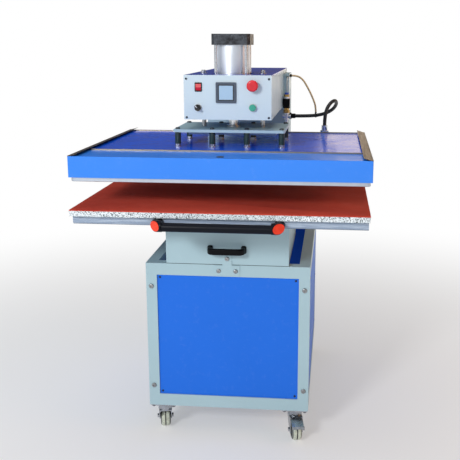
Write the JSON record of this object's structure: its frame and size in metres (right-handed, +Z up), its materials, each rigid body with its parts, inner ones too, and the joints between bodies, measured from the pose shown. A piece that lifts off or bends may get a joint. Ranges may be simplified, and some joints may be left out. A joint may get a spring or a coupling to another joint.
{
  "type": "large-format pneumatic heat press",
  "caption": "Floor-standing pneumatic heat press: sliding padded bed, cylinder-driven heated platen under an overhanging beam, cabinet stand on casters.",
  "frame": {"origin": "on the floor, at the middle of the footprint", "axes": "+Z up; +X to the operator's right; +Y from the operator to the rear column"},
  "size_m": [1.006, 1.1762, 1.4965],
  "materials": {
    "grey_green_paint": "satin enamel, light blue-grey",
    "blue_paint": "gloss enamel, strong blue",
    "dark_blue_paint": "gloss enamel",
    "screw_zinc": "zinc-plated socket screws",
    "bright_steel": "ground and chromed",
    "zinc_steel": "zinc-plated pressed steel",
    "panel_paint": "satin enamel, pale blue-grey",
    "black_plastic": "moulded",
    "display_case": "moulded slate grey",
    "cast_cap": "dark anodised casting",
    "barrel_aluminium": "bright drawn tube",
    "bush_bronze": "machined",
    "brass": "machined and nickel-flashed",
    "tube_plastic": "polyurethane tube",
    "cable_sheath": "black sheath",
    "lead_braid": "tan glass braid",
    "tie_plastic": "nylon",
    "standoff_dark": "dark green-black",
    "platen_aluminium": "milled plate",
    "strip_steel": "bare folded strip",
    "glass_wool": "glass-fibre blanket",
    "heater_tube": "tubular heater sheath",
    "red_silicone": "red silicone",
    "grey_foam": "speckled silicone sponge",
    "tray_paint": "blue-grey enamel",
    "handle_black": "black powder coat",
    "cap_red": "orange-red moulding",
    "wheel_nylon": "cream nylon",
    "red_plastic": "moulded red",
    "green_plastic": "moulded teal green"
  },
  "bodies": {
    "frame": {"stand_frame": "grey_green_paint", "stand_panels": "blue_paint", "frame_screws": "screw_zinc", "caster_plates": "zinc_steel", "pedestal_box": "grey_green_paint", "pedestal_handle": "black_plastic", "lock_plate": "grey_green_paint", "slide_rails": "bright_steel", "rear_column": "grey_green_paint", "beam_shell": "grey_green_paint", "beam_top_cover": "blue_paint", "control_panel": "panel_paint", "control_bezels": "black_plastic", "touch_display": "display_case", "cylinder_caps": "cast_cap", "cylinder_barrel": "barrel_aluminium", "cylinder_tie_rods": "bright_steel", "guide_bushes": "bush_bronze", "air_valve": "black_plastic", "air_fittings": "brass", "air_tube": "tube_plastic", "column_glands": "black_plastic", "heater_cable": "cable_sheath", "sensor_lead": "lead_braid", "cable_tie": "tie_plastic"},
    "press_head": {"piston_rod": "bright_steel", "guide_rods": "bright_steel", "carriage_plate": "grey_green_paint", "stiffener_bar": "grey_green_paint", "standoffs": "standoff_dark", "standoff_hardware": "screw_zinc", "platen_cover_margins": "blue_paint", "platen_cover_top": "dark_blue_paint", "cover_trim_strips": "strip_steel", "heater_platen": "platen_aluminium", "insulation_blanket": "glass_wool", "heating_elements": "heater_tube", "platen_gland": "bright_steel"},
    "sliding_bed": {"silicone_sheet": "red_silicone", "foam_pad": "grey_foam", "table_tray": "tray_paint", "table_runners": "bright_steel", "handle_tube": "handle_black", "handle_brackets": "handle_black", "handle_end_caps": "cap_red"},
    "swivel_front_left": {"caster_fork_front_left": "zinc_steel"},
    "wheel_front_left": {"caster_wheel_front_left": "wheel_nylon"},
    "pedal_front_left": {"brake_pedal_front_left": "zinc_steel"},
    "swivel_front_right": {"caster_fork_front_right": "zinc_steel"},
    "wheel_front_right": {"caster_wheel_front_right": "wheel_nylon"},
    "pedal_front_right": {"brake_pedal_front_right": "zinc_steel"},
    "swivel_rear_left": {"caster_fork_rear_left": "zinc_steel"},
    "wheel_rear_left": {"caster_wheel_rear_left": "wheel_nylon"},
    "swivel_rear_right": {"caster_fork_rear_right": "zinc_steel"},
    "wheel_rear_right": {"caster_wheel_rear_right": "wheel_nylon"},
    "rocker": {"power_rocker": "red_plastic"},
    "selector": {"selector_knob": "black_plastic"},
    "start": {"start_button": "green_plastic"},
    "estop_slider": {"estop_plunger": "black_plastic"},
    "estop_cap": {"estop_head": "red_plastic"}
  },
  "joints": [
    {"name": "press_stroke", "type": "slide", "parent": "frame", "child": "press_head", "axis": [0, 0, -1], "range_m": [0, 0.091]},
    {"name": "bed_slide", "type": "slide", "parent": "frame", "child": "sliding_bed", "axis": [0, -1, 0], "range_m": [0, 0.45]},
    {"name": "caster_swivel_front_left", "type": "hinge", "parent": "frame", "child": "swivel_front_left", "pos_m": [-0.25, -0.28308, 0.1], "axis": [0, 0, 1], "continuous": true},
    {"name": "wheel_roll_front_left", "type": "hinge", "parent": "swivel_front_left", "child": "wheel_front_left", "pos_m": [-0.25645, -0.25276, 0.04], "axis": [-0.9781, -0.2079, 0], "continuous": true},
    {"name": "brake_pedal_front_left", "type": "hinge", "parent": "swivel_front_left", "child": "pedal_front_left", "pos_m": [-0.25707, -0.24983, 0.0865], "axis": [0.9781, 0.2079, 0], "range_deg": [0, 16]},
    {"name": "caster_swivel_front_right", "type": "hinge", "parent": "frame", "child": "swivel_front_right", "pos_m": [0.25, -0.28308, 0.1], "axis": [0, 0, 1], "continuous": true},
    {"name": "wheel_roll_front_right", "type": "hinge", "parent": "swivel_front_right", "child": "wheel_front_right", "pos_m": [0.25645, -0.31341, 0.04], "axis": [0.9781, 0.2079, 0], "continuous": true},
    {"name": "brake_pedal_front_right", "type": "hinge", "parent": "swivel_front_right", "child": "pedal_front_right", "pos_m": [0.25707, -0.31634, 0.0865], "axis": [-0.9781, -0.2079, 0], "range_deg": [0, 16]},
    {"name": "caster_swivel_rear_left", "type": "hinge", "parent": "frame", "child": "swivel_rear_left", "pos_m": [-0.25, 0.51692, 0.1], "axis": [0, 0, 1], "continuous": true},
    {"name": "wheel_roll_rear_left", "type": "hinge", "parent": "swivel_rear_left", "child": "wheel_rear_left", "pos_m": [-0.2606, 0.54605, 0.04], "axis": [-0.9397, -0.342, 0], "continuous": true},
    {"name": "caster_swivel_rear_right", "type": "hinge", "parent": "frame", "child": "swivel_rear_right", "pos_m": [0.25, 0.51692, 0.1], "axis": [0, 0, 1], "continuous": true},
    {"name": "wheel_roll_rear_right", "type": "hinge", "parent": "swivel_rear_right", "child": "wheel_rear_right", "pos_m": [0.25645, 0.54724, 0.04], "axis": [-0.9781, 0.2079, 0], "continuous": true},
    {"name": "power_rocker_tilt", "type": "hinge", "parent": "frame", "child": "rocker", "pos_m": [-0.103, -0.27808, 1.313], "axis": [-1, 0, 0], "range_deg": [0, 18]},
    {"name": "selector_turn", "type": "hinge", "parent": "frame", "child": "selector", "pos_m": [-0.105, -0.28008, 1.241], "axis": [0, 1, 0], "range_deg": [0, 90]},
    {"name": "start_push", "type": "slide", "parent": "frame", "child": "start", "axis": [0, 1, 0], "range_m": [0, 0.003], "stiffness_N_per_m": 800, "springref_m": -0.002},
    {"name": "estop_push", "type": "slide", "parent": "frame", "child": "estop_slider", "axis": [0, 1, 0], "range_m": [0, 0.0045]},
    {"name": "estop_twist", "type": "hinge", "parent": "estop_slider", "child": "estop_cap", "pos_m": [0.09, -0.30508, 1.319], "axis": [0, -1, 0], "range_deg": [-45, 0], "stiffness_Nm_per_rad": 0.05}
  ]
}
